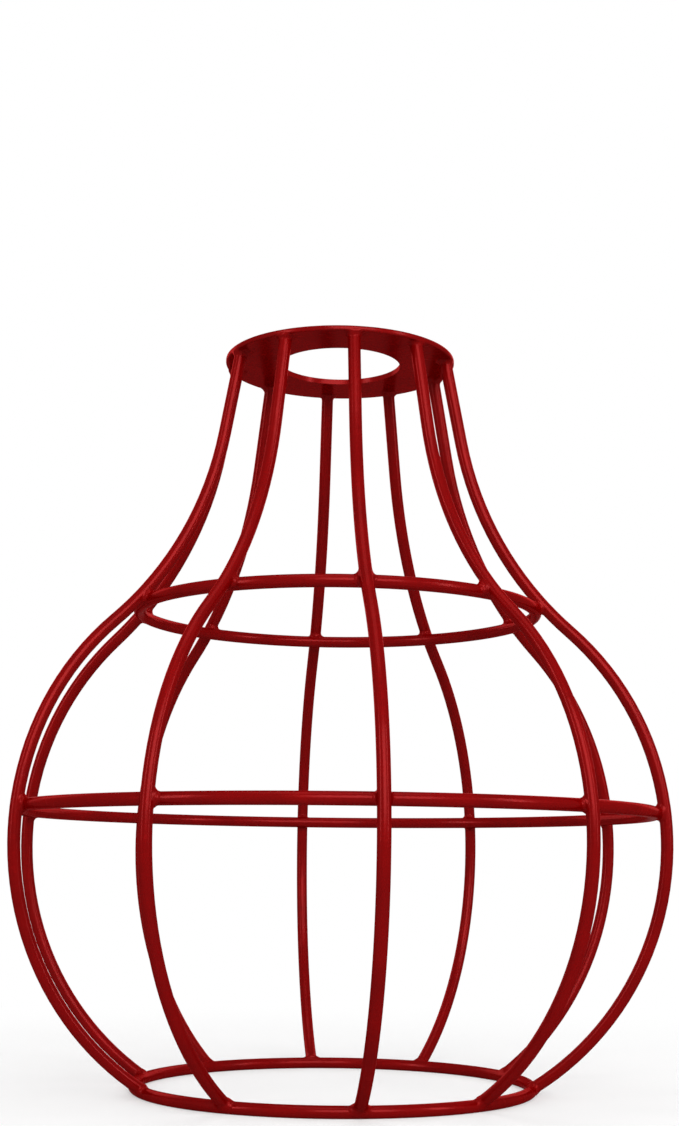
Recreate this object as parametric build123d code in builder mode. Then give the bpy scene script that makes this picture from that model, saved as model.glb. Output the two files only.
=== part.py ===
from build123d import *
import os
from math import atan2, cos, radians, sin

# Wire cage lamp shade: bent ribs welded under a flat fitter plate, outside two wire rings and onto a third.
# Millimetres, +Z up. The origin is the centre of the holder hole, level with the plate's top face,
# so the cage hangs below it. Levels are measured down from that face. The front is -Y.

# Wire, with its coat of powder paint
rib_wire_diameter = 2.9
ring_wire_diameter = 2.9
weld_set_down = 0.7  # how far two crossing wires are pressed into each other at a weld

# Fitter plate
plate_diameter = 55.0
plate_thickness = 1.2
plate_edge_round = 0.4
holder_hole_diameter = 29.0

# Ribs, with bends measured along the wire's axis
rib_count = 10
front_rib_azimuth = -90.0  # degrees from +X
rib_top_inset = 1.9  # from the plate's edge in to the wire's axis
neck_slant = 11.5  # degrees from plumb
neck_straight = 20.0
shoulder_arc_radius = 68.5
belly_diameter = 160.4  # over the outside of the ribs
belly_level = 117.5  # where the ribs are widest

# Rings
shoulder_ring_level = 61.2
belly_ring_level = 109.0
bottom_ring_level = 174.75
bottom_ring_diameter = 98.4  # over the outside of the wire
foot_lift = 0.35  # a rib's axis passes this far over the middle of the bottom ring's wire
foot_set_back = 0.8  # the rib is cut this far before that place

rib_wire_radius = rib_wire_diameter / 2
ring_wire_radius = ring_wire_diameter / 2

# Fitter plate: a flat disc with a rounded edge and the hole that the lamp holder passes through
with BuildPart() as fitter_plate:
    with BuildSketch(Plane.XY.offset(-plate_thickness)):
        Circle(plate_diameter / 2)
        Circle(holder_hole_diameter / 2, mode=Mode.SUBTRACT)
    extrude(amount=plate_thickness)
    rim_edges = fitter_plate.edges().filter_by(GeomType.CIRCLE).sort_by(SortBy.RADIUS)[-2:]
    fillet(rim_edges, plate_edge_round)

# Rib axis, drawn in the XZ plane, where X is the radius. A straight neck leaves the plate, and one
# arc turns it out until it touches the shoulder arc, which runs down to the widest level.
neck_down = Vector(sin(radians(neck_slant)), 0, -cos(radians(neck_slant)))
neck_outward = Vector(cos(radians(neck_slant)), 0, sin(radians(neck_slant)))
neck_top = Vector(plate_diameter / 2 - rib_top_inset, 0, -plate_thickness)
neck_end = neck_top + neck_down * neck_straight
belly_radius = belly_diameter / 2 - rib_wire_radius
widest = Vector(belly_radius, 0, -belly_level)
shoulder_centre = Vector(belly_radius - shoulder_arc_radius, 0, -belly_level)

# The neck arc touches the straight at neck_end and the shoulder arc at turn_over.
reach = neck_end - shoulder_centre
slack = shoulder_arc_radius - reach.dot(neck_outward)
neck_arc_radius = (reach.dot(reach) - shoulder_arc_radius**2) / (2 * slack)
neck_centre = neck_end + neck_outward * neck_arc_radius
turn_over = shoulder_centre + (neck_centre - shoulder_centre).normalized() * shoulder_arc_radius

# The belly arc leaves the widest level plumb and passes just over the middle of the bottom ring's
# wire. A rib is cut square a little before that, so its end sits on the ring's upper outer side.
bottom_ring_radius = bottom_ring_diameter / 2 - ring_wire_radius
foot_run = belly_radius - bottom_ring_radius
foot_drop = bottom_ring_level - belly_level
belly_arc_radius = (foot_run**2 + foot_drop**2 - foot_lift**2) / (2 * (foot_run + foot_lift))
ring_angle = atan2(foot_drop, belly_arc_radius - foot_run)
foot_angle = ring_angle - foot_set_back / belly_arc_radius
belly_centre = Vector(belly_radius - belly_arc_radius, 0, -belly_level)
foot_end = belly_centre + Vector(cos(foot_angle), 0, -sin(foot_angle)) * belly_arc_radius

# The wire starts a diameter above the plate's underside and is trimmed to it later.
with BuildLine(Plane.XZ) as rib_axis:
    neck_line = Line(neck_top - neck_down * rib_wire_diameter, neck_end)
    neck_arc = TangentArc(neck_line @ 1, turn_over, tangent=neck_line % 1)
    shoulder_arc = TangentArc(neck_arc @ 1, widest, tangent=neck_arc % 1)
    TangentArc(shoulder_arc @ 1, foot_end, tangent=shoulder_arc % 1)

# Rings that seat inside the ribs have their centres on this line.
weld_offset = rib_wire_radius + ring_wire_radius - weld_set_down
weld_line = rib_axis.wire().offset_2d(weld_offset, closed=False, side=Side.LEFT)


def seated_radius(level):
    """Centre-line radius of a ring that seats inside the ribs at this level."""
    return weld_line.intersect(Plane.XY.offset(-level))[0].X


def ring_section(radius, level):
    """Plane across a ring's wire that keeps the wire's seam line on the inner side, off the welds."""
    return Plane(origin=(radius, 0, -level), x_dir=(-1, 0, 0), z_dir=(0, 1, 0))


with BuildPart() as shoulder_ring:
    with BuildSketch(ring_section(seated_radius(shoulder_ring_level), shoulder_ring_level)):
        Circle(ring_wire_radius)
    revolve(axis=Axis.Z)

with BuildPart() as belly_ring:
    with BuildSketch(ring_section(seated_radius(belly_ring_level), belly_ring_level)):
        Circle(ring_wire_radius)
    revolve(axis=Axis.Z)

with BuildPart() as bottom_ring:
    with BuildSketch(ring_section(bottom_ring_radius, bottom_ring_level)):
        Circle(ring_wire_radius)
    revolve(axis=Axis.Z)

# One rib: the wire trimmed flat under the plate, with a saddle where it is welded to each ring
with BuildPart() as rib_form:
    with BuildSketch(Plane(rib_axis.line @ 0, z_dir=rib_axis.line % 0)):
        Circle(rib_wire_radius)
    sweep(path=rib_axis.line)
    split(bisect_by=Plane.XY.offset(-plate_thickness), keep=Keep.BOTTOM)
    add([shoulder_ring.part, belly_ring.part, bottom_ring.part], mode=Mode.SUBTRACT)

pieces = {
    "fitter_plate": fitter_plate.part,
    "shoulder_ring": shoulder_ring.part,
    "belly_ring": belly_ring.part,
    "bottom_ring": bottom_ring.part,
}

# The ribs stand round the axis at equal angles, counted from the front one.
rib_spacing = 360 / rib_count
for index in range(rib_count):
    with BuildPart() as rib:
        add(rib_form.part, rotation=(0, 0, front_rib_azimuth + index * rib_spacing))
    pieces[f"rib_{index + 1:02d}"] = rib.part

os.makedirs("parts", exist_ok=True)
for name, piece in pieces.items():
    piece.label = name
    export_step(piece, f"parts/{name}.step")

overall_height = bottom_ring_level + ring_wire_radius
print(f"{belly_diameter:.1f} mm across, {overall_height:.1f} mm high, neck arc {neck_arc_radius:.1f} mm,"
      f" belly arc {belly_arc_radius:.1f} mm, rib wire {rib_axis.wire().length:.1f} mm long")
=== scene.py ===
"""Wire cage lamp shade: finish, weld beads, floor, light and camera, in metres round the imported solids."""
from math import atan2, cos, pi, radians, sin

import bpy
import numpy as np
from mathutils import Matrix, Vector


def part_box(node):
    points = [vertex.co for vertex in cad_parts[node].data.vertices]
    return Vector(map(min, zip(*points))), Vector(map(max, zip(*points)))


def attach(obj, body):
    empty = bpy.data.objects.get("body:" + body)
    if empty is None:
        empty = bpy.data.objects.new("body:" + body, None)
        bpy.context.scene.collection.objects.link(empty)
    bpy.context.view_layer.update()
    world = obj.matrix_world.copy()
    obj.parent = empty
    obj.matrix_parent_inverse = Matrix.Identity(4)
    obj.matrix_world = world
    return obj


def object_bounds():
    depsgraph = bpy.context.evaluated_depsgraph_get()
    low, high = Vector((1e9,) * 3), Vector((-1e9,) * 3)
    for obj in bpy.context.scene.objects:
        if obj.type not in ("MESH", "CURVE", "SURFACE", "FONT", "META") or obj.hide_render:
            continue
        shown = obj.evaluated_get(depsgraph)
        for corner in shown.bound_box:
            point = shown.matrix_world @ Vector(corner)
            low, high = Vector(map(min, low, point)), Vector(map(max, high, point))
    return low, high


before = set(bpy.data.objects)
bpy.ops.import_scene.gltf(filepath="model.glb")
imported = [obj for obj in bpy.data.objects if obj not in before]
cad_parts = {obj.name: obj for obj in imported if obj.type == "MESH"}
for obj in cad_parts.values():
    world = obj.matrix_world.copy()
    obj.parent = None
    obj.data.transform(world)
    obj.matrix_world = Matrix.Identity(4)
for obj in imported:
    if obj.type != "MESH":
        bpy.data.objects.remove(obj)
cad_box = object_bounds()

MM = 0.001
WHITE = (1, 1, 1, 1)

# Photograph, in pixels: its size, and the centre, horizon and focal length that fit the shade's rings
PHOTO_WIDTH = 679
PHOTO_HEIGHT = 1126
CENTRE_COLUMN = 334.9
HORIZON_ROW = 876.4
FOCAL_PIXELS = 1686.8

# Camera, against the shade's axis and the surface that it stands on
EYE_DISTANCE = 407.8 * MM
EYE_HEIGHT = 51.8 * MM
EYE_AZIMUTH = -6.97  # degrees from the front, towards +X
EYE_ROLL = 0.57  # degrees
SENSOR_WIDTH = 36.0  # millimetres

# The solids' own sizes that the weld beads follow
WIRE_RADIUS = 1.45 * MM
PLATE_EDGE_ROUND = 0.4 * MM
RIB_COUNT = 10
FRONT_RIB_AZIMUTH = -90.0  # degrees from +X
RIB_TOP_INSET = 1.9 * MM
NECK_SLANT = radians(11.5)
NECK_STRAIGHT = 20.0 * MM
SHOULDER_ARC_RADIUS = 68.5 * MM
BELLY_LEVEL = -117.5 * MM
FOOT_LIFT = 0.35 * MM
FOOT_SET_BACK = 0.8 * MM

# Weld beads, and the paint that gathers on a cut end
FILLET_REACH = 1.7 * MM  # a bead lies where the distances to the two surfaces differ by less than this
FOOT_FILLET_REACH = 1.35 * MM
FILLET_SPREAD = 0.2  # share by which the reach differs from bead to bead
LUMP_SHARE = 0.32  # unevenness along one bead, as a share of its height
LUMP_LENGTH = 2.4 * MM
LUMP_WAVES = 4
PAINT_SWELL = 0.12 * MM  # thickness of the gathered paint on a cut end
PAINT_RUN = 2.2 * MM  # length of wire over which it thins out to nothing
PAINT_ROUND = 0.4 * MM  # round of the cut end's edge
PLATE_BEAD_RISE = 0.7 * MM  # a bead fades out this far up the plate's edge
BEAD_SINK = 0.05 * MM  # the skin is this much lower, so that its edge dips into the wires
BEAD_FEATHER = 0.006 * MM  # a bead ends where it would stand less than this above the wires
BEAD_DEPTH = 0.5 * MM  # how far a bead reaches into the wires under it

# The grid that a bead is meshed on
BEAD_HALF_WIDTH = 4.0 * MM
BEAD_CELL = 0.2 * MM
GRID_CLEARANCE = 0.012 * MM  # no corner of a cell counts as closer to a surface than this
SKIN_STEPS = 3  # times that the skin's vertices are moved onto the true surface
SLOPE_STEP = 0.01 * MM
LEAST_SLOPE = 1e-12
CELL_HALVES = slice(None, -1), slice(1, None)  # lower and upper corners of a grid's cells along one axis

# Powder coat, with colours in linear light and its noise in cycles per metre
COAT_DARK = (0.172, 0.0006, 0.0008, 1)
COAT_LIGHT = (0.215, 0.0008, 0.0010, 1)
COAT_DRIFT = {"scale": 90.0, "detail": 3.0, "roughness": 0.55}
COAT_DRIFT_ENDS = 0.30, 0.72  # noise values that give the dark and the light colour
COAT_ROUGHNESS = 0.20, 0.30
COAT_GLOSS = {"scale": 420.0, "detail": 2.0, "roughness": 0.5}
COAT_GLOSS_ENDS = 0.3, 0.7  # noise values that give the least and the most roughness
COAT_PEEL = {"scale": 800.0, "detail": 1.5, "roughness": 0.45}
COAT_PEEL_HEIGHT = 0.011 * MM
COAT_METALLIC = 0.18  # gives the gloss the coat's own red
COAT_GLANCING_TINT = (1, 0.15, 0.15, 1)
CLEAR_GLOSS_WEIGHT = 0.010  # whitens the highlights a little
CLEAR_GLOSS_IOR = 4.0  # makes the clear gloss nearly as strong face on as at a glancing angle
CLEAR_GLOSS_ROUGHNESS = 0.2

# Floor, backdrop and lamps
FLOOR_LEVEL = cad_box[0].z
FLOOR_RADIUS = 6.0
FLOOR_SIDES = 96
FLOOR_ROUGHNESS = 0.9
FLOOR_SPECULAR = 0.1
FLOOR_PALENESS = 0.97
FLOOR_BOUNCE = 0.52  # share of the light that it gives back to the shade, as from a less pale stand
FLOOR_FADE = 0.05, 0.28  # distances from the axis between which the floor turns into the white background
FLOOR_FADE_START = 0.45  # share of that white nearest the axis
BACKDROP_STRENGTH = 1.0
FILL_STRENGTH = 0.06  # even light from all round
LAMP_DISTANCE = 1.2


def ring_centre(node):
    """Radius and height of a ring's wire axis."""
    low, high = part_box(node)
    return np.array([high.x - WIRE_RADIUS, (low.z + high.z) / 2])


# A rib's axis in its own plane, as radius and height: a straight neck and three arcs
plate_low, plate_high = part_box("fitter_plate")
front_rib_low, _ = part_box("rib_01")
shoulder_ring = ring_centre("shoulder_ring")
belly_ring = ring_centre("belly_ring")
bottom_ring = ring_centre("bottom_ring")
neck_down = np.array([sin(NECK_SLANT), -cos(NECK_SLANT)])
neck_outward = np.array([cos(NECK_SLANT), sin(NECK_SLANT)])
neck_top = np.array([plate_high.x - RIB_TOP_INSET, plate_low.z])
neck_end = neck_top + neck_down * NECK_STRAIGHT
belly_radius = -front_rib_low.y - WIRE_RADIUS
shoulder_arc = np.array([belly_radius - SHOULDER_ARC_RADIUS, BELLY_LEVEL])
to_neck = neck_end - shoulder_arc
neck_slack = SHOULDER_ARC_RADIUS - to_neck @ neck_outward
neck_arc_radius = (to_neck @ to_neck - SHOULDER_ARC_RADIUS**2) / (2 * neck_slack)
neck_arc = neck_end + neck_outward * neck_arc_radius
foot_run = belly_radius - bottom_ring[0]
foot_drop = BELLY_LEVEL - bottom_ring[1]
belly_arc_radius = (foot_run**2 + foot_drop**2 - FOOT_LIFT**2) / (2 * (foot_run + FOOT_LIFT))
belly_arc = np.array([belly_radius - belly_arc_radius, BELLY_LEVEL])
foot_angle = atan2(foot_drop, belly_arc_radius - foot_run) - FOOT_SET_BACK / belly_arc_radius
foot_outward = np.array([cos(foot_angle), -sin(foot_angle)])
foot_along = np.array([-sin(foot_angle), -cos(foot_angle)])
foot_end = belly_arc + foot_outward * belly_arc_radius


def angle_at(centre, point):
    """Direction from one point to another, in a rib's plane."""
    return np.arctan2(point[1] - centre[1], point[0] - centre[0])


def line_distance(plane, start, along, length):
    """Distance in the rib's plane to a straight run of its axis."""
    run = np.clip((plane - start) @ along, 0, length)
    return np.linalg.norm(plane - start - run[..., None] * along, axis=-1)


def arc_distance(plane, centre, radius, first, last):
    """Distance in the rib's plane to an arc of its axis, between two angles."""
    middle, half = (first + last) / 2, abs(last - first) / 2
    out = plane - centre
    turn = np.arctan2(out[..., 1], out[..., 0]) - middle
    turn = np.clip((turn + pi) % (2 * pi) - pi, -half, half) + middle
    nearest = radius * np.stack([np.cos(turn), np.sin(turn)], axis=-1)
    return np.linalg.norm(out - nearest, axis=-1)


def axis_distance(points):
    """Distance to the axis of the rib that stands in the XZ plane. The belly arc runs on past the foot."""
    plane = points[..., [0, 2]]
    turn_angle = angle_at(shoulder_arc, neck_arc)
    neck_angles = angle_at(neck_arc, neck_end) % (2 * pi), turn_angle + pi
    in_plane = np.minimum.reduce([
        line_distance(plane, neck_top, neck_down, NECK_STRAIGHT),
        arc_distance(plane, neck_arc, neck_arc_radius, *neck_angles),
        arc_distance(plane, shoulder_arc, SHOULDER_ARC_RADIUS, turn_angle, 0),
        arc_distance(plane, belly_arc, belly_arc_radius, 0, -pi / 2),
    ])
    return np.hypot(in_plane, points[..., 1])


def past_foot(points):
    """How far points lie beyond the cut end of a rib, along its wire."""
    return (points[..., [0, 2]] - foot_end) @ foot_along


def rib_field(points):
    """Signed distance to a rib, negative inside it, with both its ends cut."""
    into_plate = points[..., 2] - plate_low.z - BEAD_DEPTH
    return np.maximum.reduce([axis_distance(points) - WIRE_RADIUS, past_foot(points), into_plate])


def rounded_corner(side, end, radius):
    """Signed distance to where two walls meet, from the distances to them, with their corner rounded."""
    side, end = side + radius, end + radius
    corner = np.hypot(np.maximum(side, 0), np.maximum(end, 0))
    return corner + np.minimum(np.maximum(side, end), 0) - radius


def painted_foot_field(points):
    """Signed distance to a rib's foot, where paint has gathered on the cut end and rounds its edge."""
    beyond = past_foot(points)
    gather = np.clip(1 + beyond / PAINT_RUN, 0, 1)
    swell = PAINT_SWELL * gather**2 * (3 - 2 * gather)
    side = axis_distance(points) - WIRE_RADIUS - swell
    return rounded_corner(side, beyond - PAINT_SWELL, PAINT_ROUND)


def ring_field(points, ring):
    """Signed distance to a ring."""
    across = np.hypot(points[..., 0], points[..., 1]) - ring[0]
    return np.hypot(across, points[..., 2] - ring[1]) - WIRE_RADIUS


def plate_field(points):
    """Signed distance to the fitter plate, away from its hole."""
    half = (plate_high.z - plate_low.z) / 2
    across = np.hypot(points[..., 0], points[..., 1]) - plate_high.x
    up = abs(points[..., 2] - plate_low.z - half) - half
    return rounded_corner(across, up, PLATE_EDGE_ROUND)


def filled_union(first, second, points, seed, fillet_reach=FILLET_REACH):
    """Union of two fields with the crease between them filled by an uneven bead."""
    draw = np.random.default_rng(seed)
    reach = fillet_reach * (1 + FILLET_SPREAD * draw.uniform(-1, 1))
    waves = draw.normal(size=(LUMP_WAVES, 3)) * (pi / LUMP_LENGTH)
    lumps = np.sin(points @ waves.T + draw.uniform(0, 2 * pi, LUMP_WAVES)).mean(axis=-1)
    closeness = np.clip(1 - abs(first - second) / reach, 0, None)
    return np.minimum(first, second) - closeness**2 * reach / 4 * (1 + LUMP_SHARE * lumps)


def fill_diagonals(corners):
    """Fill in beside opposite corners of a square or cube that touch only through its middle, if any do."""
    last = len(corners) - 1
    found = False
    for first in range(len(corners) // 2):
        inside = np.stack([corner < 0 for corner in corners])
        pair = inside[[first, last - first]]
        rest = np.delete(inside, [first, last - first], axis=0)
        joined = pair.all(axis=0) & ~rest.any(axis=0)
        parted = rest.all(axis=0) & ~pair.any(axis=0)
        # Number first ^ 1 is the corner beside the first one, along the last axis.
        corners[first ^ 1][joined] = -GRID_CLEARANCE
        corners[first][parted] = -GRID_CLEARANCE
        found |= bool(joined.any() or parted.any())
    return found


def without_pinches(field):
    """The same grid, filled in where its surface would touch itself along an edge or at a point."""
    field = field.copy()
    # The lists of corners hold views of the grid, so filling them in fills in the grid.
    cube = [field[x, y, z] for x in CELL_HALVES for y in CELL_HALVES for z in CELL_HALVES]
    while True:
        found = fill_diagonals(cube)
        for axis in range(3):
            layers = np.moveaxis(field, axis, 0)
            found |= fill_diagonals([layers[:, y, z] for y in CELL_HALVES for z in CELL_HALVES])
        if not found:
            return field


def surface_net(field, corner, cell):
    """Closed mesh round the part of a grid with negative values, with a vertex in each cell it crosses."""
    shape = np.array(field.shape) - 1
    total = np.zeros((*shape, 3))
    count = np.zeros(shape)
    places = np.stack(np.meshgrid(*[np.arange(n) for n in field.shape], indexing="ij"), axis=-1)

    # A cell's vertex is the mean of the places where the surface crosses the cell's edges.
    crossings = []
    for axis in range(3):
        start = np.moveaxis(field, axis, 0)[:-1]
        end = np.moveaxis(field, axis, 0)[1:]
        crossed = (start < 0) != (end < 0)
        share = np.where(crossed, start / np.where(crossed, start - end, 1), 0)
        spots = np.moveaxis(places, axis, 0)[:-1].astype(float)
        spots[..., axis] += share
        crossings.append((crossed, start < 0))
        for second in CELL_HALVES:
            for third in CELL_HALVES:
                part = (slice(None), second, third)
                total += np.moveaxis(np.where(crossed[part][..., None], spots[part], 0), 0, axis)
                count += np.moveaxis(crossed[part], 0, axis)
    used = count > 0
    number = np.full(shape, -1)
    number[used] = np.arange(used.sum())
    vertices = corner + total[used] / count[used][:, None] * cell

    # Each crossed edge has a quad round it, between its four cells, wound to face outwards.
    quads = []
    inner = (slice(None), slice(1, -1), slice(1, -1))
    for axis, (crossed, inside) in enumerate(crossings):
        cells = np.moveaxis(number, axis, 0)
        around = [cells[:, :-1, :-1], cells[:, 1:, :-1], cells[:, 1:, 1:], cells[:, :-1, 1:]]
        quad = np.stack([side[crossed[inner]] for side in around], axis=-1)
        backward = inside[inner][crossed[inner]] == (axis == 1)
        quad[backward] = quad[backward][:, ::-1]
        quads.append(quad)
    return vertices, np.concatenate(quads)


def slope(field, points):
    """Unit direction in which a field grows."""
    steps = np.eye(3) * SLOPE_STEP
    grown = np.stack([field(points + step) - field(points - step) for step in steps], axis=-1)
    return grown / np.maximum(np.linalg.norm(grown, axis=-1, keepdims=True), LEAST_SLOPE)


def weld_bead(centre, plain, filled):
    """Mesh of what a filled union adds to the plain solids, with a skin that runs into them."""
    corner = np.array([centre[0], 0, centre[1]]) - BEAD_HALF_WIDTH
    steps = np.arange(0, 2 * BEAD_HALF_WIDTH, BEAD_CELL)
    grid = corner + np.stack(np.meshgrid(steps, steps, steps, indexing="ij"), axis=-1)
    bare, full = plain(grid), filled(grid)
    bead = np.maximum.reduce([full + BEAD_SINK, -bare - BEAD_DEPTH, BEAD_FEATHER - bare + full])
    bead = np.copysign(np.maximum(abs(bead), GRID_CLEARANCE), bead)
    vertices, quads = surface_net(without_pinches(bead), corner, BEAD_CELL)

    # The skin is moved onto the true surface. The other vertices lie inside the solids.
    skin = filled(vertices) + BEAD_SINK > -BEAD_CELL / 2
    for _ in range(SKIN_STEPS):
        outward = slope(filled, vertices[skin])
        vertices[skin] -= outward * (filled(vertices[skin]) + BEAD_SINK)[:, None]
    vertices[:, 2] = np.maximum(vertices[:, 2], FLOOR_LEVEL)
    normals = np.zeros_like(vertices)
    normals[skin] = slope(filled, vertices[skin])
    normals[~skin] = -slope(plain, vertices[~skin])
    return vertices, quads, normals


def add_welds(name, centre, plain, filled):
    """One piece with a bead at this place on every rib. Each bead differs a little."""
    vertices, quads, normals = [], [], []
    first = 0
    for index in range(RIB_COUNT):
        seed = list(f"{name}{index}".encode())
        spots, faces, outward = weld_bead(centre, plain, lambda points: filled(points, seed))
        turn = Matrix.Rotation(radians(FRONT_RIB_AZIMUTH + index * 360 / RIB_COUNT), 3, "Z")
        vertices.append(spots @ np.array(turn).T)
        normals.append(outward @ np.array(turn).T)
        quads.append(faces + first)
        first += len(spots)
    mesh = bpy.data.meshes.new(name)
    mesh.from_pydata(np.concatenate(vertices).tolist(), [], np.concatenate(quads).tolist())
    mesh.shade_smooth()
    mesh.normals_split_custom_set_from_vertices(np.concatenate(normals).tolist())
    mesh.validate()
    mesh.materials.append(coat)
    welds = bpy.data.objects.new(name, mesh)
    bpy.context.scene.collection.objects.link(welds)
    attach(welds, "root")


def add_plate_welds():
    """Beads where the ribs' tops meet the underside of the plate."""

    def plain(points):
        return np.minimum(rib_field(points), plate_field(points))

    def filled(points, seed):
        bare = plain(points)
        bead = filled_union(rib_field(points), plate_field(points), points, seed)
        below_top = np.clip(1 - (points[..., 2] - plate_low.z) / PLATE_BEAD_RISE, 0, 1)
        return bare + (bead - bare) * below_top

    add_welds("plate_welds", neck_top, plain, filled)


def add_ring_welds(name, ring):
    """Beads where a ring crosses inside the ribs."""

    def plain(points):
        return np.minimum(rib_field(points), ring_field(points, ring))

    def filled(points, seed):
        return filled_union(rib_field(points), ring_field(points, ring), points, seed)

    add_welds(name, ring, plain, filled)


def add_foot_welds():
    """Beads and gathered paint where the ribs' cut ends meet the bottom ring."""

    def plain(points):
        return np.minimum(rib_field(points), ring_field(points, bottom_ring))

    def filled(points, seed):
        foot, ring = painted_foot_field(points), ring_field(points, bottom_ring)
        return filled_union(foot, ring, points, seed, FOOT_FILLET_REACH)

    add_welds("foot_welds", foot_end, plain, filled)


def new_material(name):
    """A new material with its nodes, its links and its Principled shader."""
    material = bpy.data.materials.new(name)
    material.use_nodes = True
    nodes = material.node_tree.nodes
    return material, nodes, material.node_tree.links, nodes["Principled BSDF"]


def set_inputs(node, values):
    """Set sockets of a node by their names."""
    for name, value in values.items():
        node.inputs[name].default_value = value


def mix_to_surface(nodes, links, share, first, second, output):
    """Show two shaders mixed, with a share that is 0 for the first and 1 for the second."""
    mix = nodes.new("ShaderNodeMixShader")
    links.new(share, mix.inputs[0])
    links.new(first.outputs[0], mix.inputs[1])
    links.new(second.outputs[0], mix.inputs[2])
    links.new(mix.outputs[0], output.inputs["Surface"])


def seen_directly(nodes, links):
    """1 for what the camera sees, in a reflection or through glass too, and 0 for what only lights."""
    path = nodes.new("ShaderNodeLightPath")
    seen = path.outputs["Is Camera Ray"]
    for ray in ("Is Glossy Ray", "Is Transmission Ray"):
        either = nodes.new("ShaderNodeMath")
        either.operation = "MAXIMUM"
        links.new(seen, either.inputs[0])
        links.new(path.outputs[ray], either.inputs[1])
        seen = either.outputs[0]
    return seen


def powder_coat():
    """Satin red powder coat: drifting colour, uneven gloss and a fine orange peel."""
    material, nodes, links, shader = new_material("red_powder_coat")
    place = nodes.new("ShaderNodeTexCoord")

    def noise(scale, detail, roughness):
        texture = nodes.new("ShaderNodeTexNoise")
        set_inputs(texture, {"Scale": scale, "Detail": detail, "Roughness": roughness})
        links.new(place.outputs["Object"], texture.inputs["Vector"])
        return texture.outputs["Fac"]

    tint = nodes.new("ShaderNodeValToRGB")
    ends = zip(tint.color_ramp.elements, COAT_DRIFT_ENDS, (COAT_DARK, COAT_LIGHT))
    for element, position, colour in ends:
        element.position = position
        element.color = colour
    links.new(noise(**COAT_DRIFT), tint.inputs["Fac"])
    links.new(tint.outputs["Color"], shader.inputs["Base Color"])

    rough = nodes.new("ShaderNodeMapRange")
    set_inputs(rough, {"From Min": COAT_GLOSS_ENDS[0], "From Max": COAT_GLOSS_ENDS[1]})
    set_inputs(rough, {"To Min": COAT_ROUGHNESS[0], "To Max": COAT_ROUGHNESS[1]})
    links.new(noise(**COAT_GLOSS), rough.inputs["Value"])
    links.new(rough.outputs["Result"], shader.inputs["Roughness"])

    bump = nodes.new("ShaderNodeBump")
    set_inputs(bump, {"Strength": 1.0, "Distance": COAT_PEEL_HEIGHT})
    links.new(noise(**COAT_PEEL), bump.inputs["Height"])
    links.new(bump.outputs["Normal"], shader.inputs["Normal"])
    links.new(bump.outputs["Normal"], shader.inputs["Coat Normal"])

    # Most of the gloss is red. A stronger clear one would lay the white of the background over the wires.
    set_inputs(shader, {
        "Metallic": COAT_METALLIC,
        "Specular IOR Level": 0.0,
        "Specular Tint": COAT_GLANCING_TINT,
        "Coat Weight": CLEAR_GLOSS_WEIGHT,
        "Coat IOR": CLEAR_GLOSS_IOR,
        "Coat Roughness": CLEAR_GLOSS_ROUGHNESS,
    })
    return material


def pale_floor():
    """Plain matt floor that fades out to the white of the background, away from the shade."""
    material, nodes, links, shader = new_material("pale_floor")
    set_inputs(shader, {"Roughness": FLOOR_ROUGHNESS, "Specular IOR Level": FLOOR_SPECULAR})
    seen = seen_directly(nodes, links)
    paleness = nodes.new("ShaderNodeMapRange")
    set_inputs(paleness, {"To Min": FLOOR_BOUNCE, "To Max": FLOOR_PALENESS})
    links.new(seen, paleness.inputs["Value"])
    links.new(paleness.outputs["Result"], shader.inputs["Base Color"])

    place = nodes.new("ShaderNodeTexCoord")
    from_axis = nodes.new("ShaderNodeVectorMath")
    from_axis.operation = "LENGTH"
    links.new(place.outputs["Object"], from_axis.inputs[0])
    fade = nodes.new("ShaderNodeMapRange")
    fade.interpolation_type = "SMOOTHSTEP"
    set_inputs(fade, {"From Min": FLOOR_FADE[0], "From Max": FLOOR_FADE[1], "To Min": FLOOR_FADE_START})
    links.new(from_axis.outputs["Value"], fade.inputs["Value"])
    share = nodes.new("ShaderNodeMath")
    share.operation = "MULTIPLY"
    links.new(fade.outputs["Result"], share.inputs[0])
    links.new(seen, share.inputs[1])
    background = nodes.new("ShaderNodeEmission")
    set_inputs(background, {"Color": WHITE})
    mix_to_surface(nodes, links, share.outputs[0], shader, background, nodes["Material Output"])
    return material


def add_floor():
    """Round floor under the shade."""
    bpy.ops.mesh.primitive_circle_add(
        vertices=FLOOR_SIDES, radius=FLOOR_RADIUS, fill_type="NGON", location=(0, 0, FLOOR_LEVEL)
    )
    floor = bpy.context.object
    floor.name = "floor"
    floor.data.materials.append(pale_floor())


def add_world():
    """White backdrop for the camera, and a faint even light for the shade."""
    world = bpy.data.worlds.new("studio")
    world.use_nodes = True
    nodes, links = world.node_tree.nodes, world.node_tree.links
    fill = nodes["Background"]
    set_inputs(fill, {"Color": WHITE, "Strength": FILL_STRENGTH})
    backdrop = nodes.new("ShaderNodeBackground")
    set_inputs(backdrop, {"Color": WHITE, "Strength": BACKDROP_STRENGTH})
    mix_to_surface(nodes, links, seen_directly(nodes, links), fill, backdrop, nodes["World Output"])
    bpy.context.scene.world = world


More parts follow.
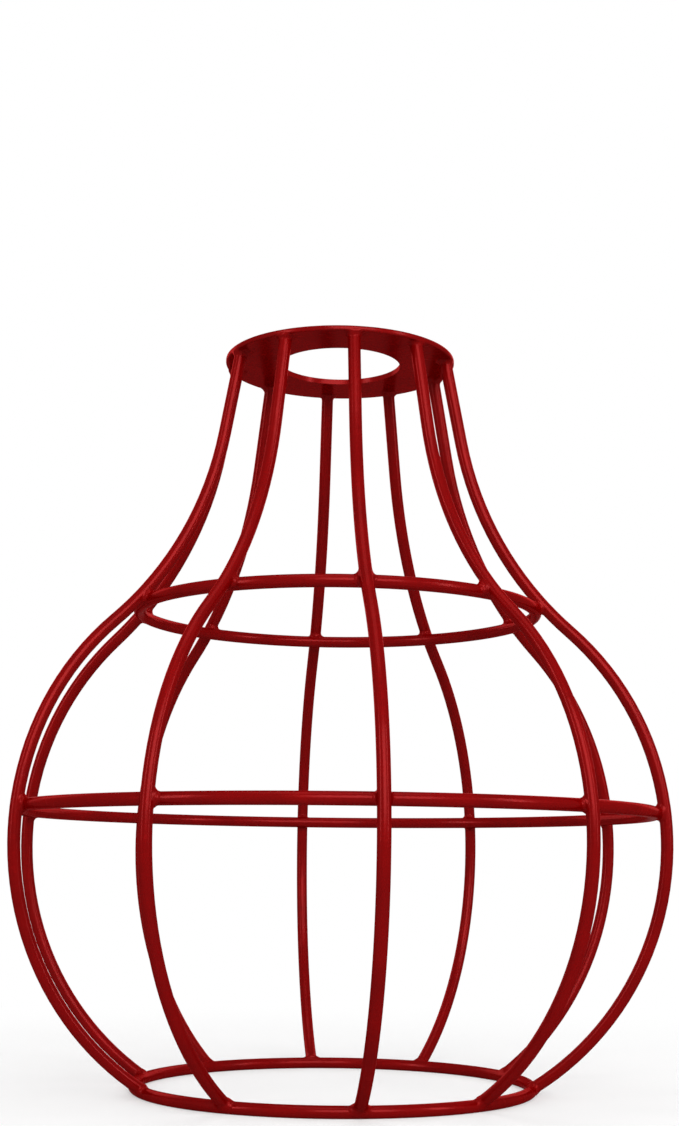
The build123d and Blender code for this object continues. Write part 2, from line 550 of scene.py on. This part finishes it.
def add_softbox(name, azimuth, elevation, width, height, watts):
    """Area lamp that faces the middle of the shade. Azimuth is in degrees from the front, towards +X."""
    middle = (cad_box[0] + cad_box[1]) / 2
    turn, rise = radians(azimuth), radians(elevation)
    out = Vector((sin(turn) * cos(rise), -cos(turn) * cos(rise), sin(rise)))
    lamp = bpy.data.lights.new(name, "AREA")
    lamp.shape = "RECTANGLE"
    lamp.size = width
    lamp.size_y = height
    lamp.energy = watts
    softbox = bpy.data.objects.new(name, lamp)
    softbox.location = middle + out * LAMP_DISTANCE
    softbox.rotation_mode = "QUATERNION"
    softbox.rotation_quaternion = (-out).to_track_quat("-Z", "Y")
    bpy.context.scene.collection.objects.link(softbox)


def add_camera():
    """Level camera with the photograph's frame shifted up from its horizon."""
    lens = bpy.data.cameras.new("camera")
    lens.sensor_fit = "AUTO"
    lens.sensor_width = SENSOR_WIDTH
    lens.lens = FOCAL_PIXELS / PHOTO_HEIGHT * SENSOR_WIDTH
    lens.shift_x = (PHOTO_WIDTH / 2 - CENTRE_COLUMN) / PHOTO_HEIGHT
    lens.shift_y = (HORIZON_ROW - PHOTO_HEIGHT / 2) / PHOTO_HEIGHT
    lens.clip_start = 0.01
    lens.clip_end = 50.0
    camera = bpy.data.objects.new("camera", lens)
    turn = radians(EYE_AZIMUTH)
    place = Vector((sin(turn) * EYE_DISTANCE, -cos(turn) * EYE_DISTANCE, FLOOR_LEVEL + EYE_HEIGHT))
    upright = Matrix.Rotation(turn, 4, "Z") @ Matrix.Rotation(pi / 2, 4, "X")
    camera.matrix_world = Matrix.Translation(place) @ upright @ Matrix.Rotation(radians(EYE_ROLL), 4, "Z")
    bpy.context.scene.collection.objects.link(camera)
    bpy.context.scene.camera = camera


# The shade: the coat on every solid, and the beads
coat = powder_coat()
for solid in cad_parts.values():
    for index in range(len(solid.data.materials)):
        solid.data.materials[index] = coat
add_plate_welds()
add_ring_welds("shoulder_welds", shoulder_ring)
add_ring_welds("belly_welds", belly_ring)
add_foot_welds()

# The studio
add_floor()
add_world()
add_softbox("front_softbox", azimuth=6.0, elevation=24.0, width=0.9, height=0.7, watts=11.0)
add_softbox("left_softbox", azimuth=-62.0, elevation=18.0, width=0.18, height=0.7, watts=3.6)
add_softbox("right_softbox", azimuth=54.0, elevation=18.0, width=0.18, height=0.7, watts=3.6)
add_softbox("rear_left_softbox", azimuth=-150.0, elevation=20.0, width=0.7, height=0.7, watts=5.0)
add_softbox("rear_right_softbox", azimuth=150.0, elevation=20.0, width=0.7, height=0.7, watts=5.0)
add_softbox("top_softbox", azimuth=0.0, elevation=82.0, width=0.8, height=0.8, watts=3.7)
add_camera()
bpy.context.scene.view_settings.view_transform = "Standard"
